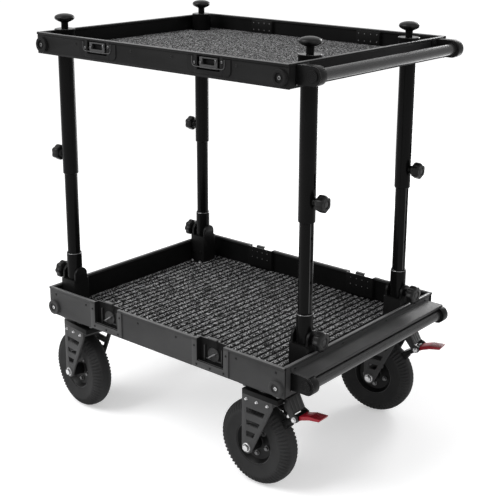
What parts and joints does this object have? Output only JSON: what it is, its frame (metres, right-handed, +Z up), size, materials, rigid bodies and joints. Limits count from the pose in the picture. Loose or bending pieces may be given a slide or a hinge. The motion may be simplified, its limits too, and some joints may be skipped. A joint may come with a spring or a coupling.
{
  "type": "camera cart",
  "caption": "Four-wheeled film cart with a carpeted lower tray and a height-adjustable upper tray on telescoping posts, push handles and foot brakes.",
  "frame": {"origin": "on the floor under the middle of the whole cart", "axes": "+X towards the push-handle end, +Y towards the back long side, +Z up"},
  "size_m": [0.8808, 0.612, 1.016],
  "materials": {
    "black_alloy": "black anodised, satin",
    "black_tube": "black anodised tube, satin",
    "black_plastic": "moulded, matte",
    "black_steel": "black powder coat",
    "tyre_rubber": "matte rubber with fine cross ribs",
    "carpet": "ribbed loop carpet, charcoal with grey flecks",
    "red_paint": "red coating"
  },
  "bodies": {
    "lower_tray": {"lower_floor_pan": "black_alloy", "lower_side_front": "black_alloy", "lower_side_back": "black_alloy", "lower_end_left": "black_alloy", "lower_end_right": "black_alloy", "lower_handle": "black_alloy", "tread_plate": "black_alloy", "lower_carpet": "carpet", "post_socket_front_left": "black_alloy", "post_socket_back_left": "black_alloy", "post_socket_front_right": "black_alloy", "post_socket_back_right": "black_alloy"},
    "post_stands": {"inner_post_front_left": "black_tube", "inner_post_back_left": "black_tube", "inner_post_front_right": "black_tube", "inner_post_back_right": "black_tube"},
    "upper_deck": {"upper_floor_pan": "black_alloy", "upper_side_front": "black_alloy", "upper_side_back": "black_alloy", "upper_end_left": "black_alloy", "upper_end_right": "black_alloy", "upper_handle": "black_alloy", "upper_carpet": "carpet", "outer_post_front_left": "black_tube", "outer_post_back_left": "black_tube", "outer_post_front_right": "black_tube", "outer_post_back_right": "black_tube"},
    "caster_front_left": {"caster_fork_front_left": "black_steel"},
    "wheel_front_left": {"wheel_rim_front_left": "black_steel", "tyre_front_left": "tyre_rubber"},
    "caster_back_left": {"caster_fork_back_left": "black_steel"},
    "wheel_back_left": {"wheel_rim_back_left": "black_steel", "tyre_back_left": "tyre_rubber"},
    "caster_front_right": {"caster_fork_front_right": "black_steel", "brake_housing_front_right": "black_steel"},
    "wheel_front_right": {"wheel_rim_front_right": "black_steel", "tyre_front_right": "tyre_rubber"},
    "pedal_front_right": {"brake_pedal_front_right": "red_paint"},
    "caster_back_right": {"caster_fork_back_right": "black_steel", "brake_housing_back_right": "black_steel"},
    "wheel_back_right": {"wheel_rim_back_right": "black_steel", "tyre_back_right": "tyre_rubber"},
    "pedal_back_right": {"brake_pedal_back_right": "red_paint"},
    "base_knob_front_left_body": {"base_knob_front_left": "black_plastic"},
    "height_knob_front_left_body": {"height_knob_front_left": "black_plastic"},
    "top_knob_front_left_body": {"top_knob_front_left": "black_plastic"},
    "base_knob_back_left_body": {"base_knob_back_left": "black_plastic"},
    "height_knob_back_left_body": {"height_knob_back_left": "black_plastic"},
    "top_knob_back_left_body": {"top_knob_back_left": "black_plastic"},
    "base_knob_front_right_body": {"base_knob_front_right": "black_plastic"},
    "height_knob_front_right_body": {"height_knob_front_right": "black_plastic"},
    "top_knob_front_right_body": {"top_knob_front_right": "black_plastic"},
    "base_knob_back_right_body": {"base_knob_back_right": "black_plastic"},
    "height_knob_back_right_body": {"height_knob_back_right": "black_plastic"},
    "top_knob_back_right_body": {"top_knob_back_right": "black_plastic"},
    "latch_key_front_left_body": {"latch_key_front_left": "black_steel"},
    "latch_key_back_left_body": {"latch_key_back_left": "black_steel"},
    "latch_key_front_right_body": {"latch_key_front_right": "black_steel"},
    "latch_key_back_right_body": {"latch_key_back_right": "black_steel"}
  },
  "joints": [
    {"name": "posts_lift_out", "type": "slide", "parent": "lower_tray", "child": "post_stands", "axis": [0, 0, 1], "range_m": [0, 0.15]},
    {"name": "deck_height", "type": "slide", "parent": "post_stands", "child": "upper_deck", "axis": [0, 0, 1], "range_m": [-0.195, 0.075]},
    {"name": "swivel_front_left", "type": "hinge", "parent": "lower_tray", "child": "caster_front_left", "pos_m": [-0.30525, -0.24, 0.24], "axis": [0, 0, 1], "continuous": true},
    {"name": "roll_front_left", "type": "hinge", "parent": "caster_front_left", "child": "wheel_front_left", "pos_m": [-0.33892, -0.23527, 0.1015], "axis": [0.1392, 0.9903, 0], "continuous": true},
    {"name": "swivel_back_left", "type": "hinge", "parent": "lower_tray", "child": "caster_back_left", "pos_m": [-0.30525, 0.24, 0.24], "axis": [0, 0, 1], "continuous": true},
    {"name": "roll_back_left", "type": "hinge", "parent": "caster_back_left", "child": "wheel_back_left", "pos_m": [-0.33917, 0.23763, 0.1015], "axis": [-0.0698, 0.9976, 0], "continuous": true},
    {"name": "swivel_front_right", "type": "hinge", "parent": "lower_tray", "child": "caster_front_right", "pos_m": [0.29475, -0.24, 0.24], "axis": [0, 0, 1], "continuous": true},
    {"name": "roll_front_right", "type": "hinge", "parent": "caster_front_right", "child": "wheel_front_right", "pos_m": [0.26075, -0.24, 0.1015], "axis": [0, 1, 0], "continuous": true},
    {"name": "brake_front_right", "type": "hinge", "parent": "caster_front_right", "child": "pedal_front_right", "pos_m": [0.37475, -0.24, 0.198], "axis": [0, -1, 0], "range_deg": [0, 30]},
    {"name": "swivel_back_right", "type": "hinge", "parent": "lower_tray", "child": "caster_back_right", "pos_m": [0.29475, 0.24, 0.24], "axis": [0, 0, 1], "continuous": true},
    {"name": "roll_back_right", "type": "hinge", "parent": "caster_back_right", "child": "wheel_back_right", "pos_m": [0.26108, 0.23527, 0.1015], "axis": [-0.1392, 0.9903, 0], "continuous": true},
    {"name": "brake_back_right", "type": "hinge", "parent": "caster_back_right", "child": "pedal_back_right", "pos_m": [0.37397, 0.25113, 0.198], "axis": [0.1392, -0.9903, 0], "range_deg": [0, 30]},
    {"name": "base_knob_front_left_turn", "type": "hinge", "parent": "lower_tray", "child": "base_knob_front_left_body", "pos_m": [-0.39725, -0.241, 0.36], "axis": [1, 0, 0], "continuous": true},
    {"name": "height_knob_front_left_turn", "type": "hinge", "parent": "upper_deck", "child": "height_knob_front_left_body", "pos_m": [-0.39325, -0.241, 0.67], "axis": [1, 0, 0], "continuous": true},
    {"name": "top_knob_front_left_turn", "type": "hinge", "parent": "upper_deck", "child": "top_knob_front_left_body", "pos_m": [-0.35325, -0.241, 0.99], "axis": [0, 0, 1], "continuous": true},
    {"name": "base_knob_back_left_turn", "type": "hinge", "parent": "lower_tray", "child": "base_knob_back_left_body", "pos_m": [-0.39725, 0.241, 0.36], "axis": [1, 0, 0], "continuous": true},
    {"name": "height_knob_back_left_turn", "type": "hinge", "parent": "upper_deck", "child": "height_knob_back_left_body", "pos_m": [-0.39325, 0.241, 0.67], "axis": [1, 0, 0], "continuous": true},
    {"name": "top_knob_back_left_turn", "type": "hinge", "parent": "upper_deck", "child": "top_knob_back_left_body", "pos_m": [-0.35325, 0.241, 0.99], "axis": [0, 0, 1], "continuous": true},
    {"name": "base_knob_front_right_turn", "type": "hinge", "parent": "lower_tray", "child": "base_knob_front_right_body", "pos_m": [0.38675, -0.188, 0.36], "axis": [1, 0, 0], "continuous": true},
    {"name": "height_knob_front_right_turn", "type": "hinge", "parent": "upper_deck", "child": "height_knob_front_right_body", "pos_m": [0.38275, -0.188, 0.67], "axis": [1, 0, 0], "continuous": true},
    {"name": "top_knob_front_right_turn", "type": "hinge", "parent": "upper_deck", "child": "top_knob_front_right_body", "pos_m": [0.34275, -0.188, 0.99], "axis": [0, 0, 1], "continuous": true},
    {"name": "base_knob_back_right_turn", "type": "hinge", "parent": "lower_tray", "child": "base_knob_back_right_body", "pos_m": [0.38675, 0.188, 0.36], "axis": [1, 0, 0], "continuous": true},
    {"name": "height_knob_back_right_turn", "type": "hinge", "parent": "upper_deck", "child": "height_knob_back_right_body", "pos_m": [0.38275, 0.188, 0.67], "axis": [1, 0, 0], "continuous": true},
    {"name": "top_knob_back_right_turn", "type": "hinge", "parent": "upper_deck", "child": "top_knob_back_right_body", "pos_m": [0.34275, 0.188, 0.99], "axis": [0, 0, 1], "continuous": true},
    {"name": "latch_key_front_left_turn", "type": "hinge", "parent": "lower_tray", "child": "latch_key_front_left_body", "pos_m": [-0.17525, -0.288, 0.298], "axis": [0, -1, 0], "range_deg": [0, 180]},
    {"name": "latch_key_back_left_turn", "type": "hinge", "parent": "lower_tray", "child": "latch_key_back_left_body", "pos_m": [-0.17525, 0.288, 0.298], "axis": [0, 1, 0], "range_deg": [0, 180]},
    {"name": "latch_key_front_right_turn", "type": "hinge", "parent": "lower_tray", "child": "latch_key_front_right_body", "pos_m": [0.16475, -0.288, 0.298], "axis": [0, -1, 0], "range_deg": [0, 180]},
    {"name": "latch_key_back_right_turn", "type": "hinge", "parent": "lower_tray", "child": "latch_key_back_right_body", "pos_m": [0.16475, 0.288, 0.298], "axis": [0, 1, 0], "range_deg": [0, 180]}
  ]
}
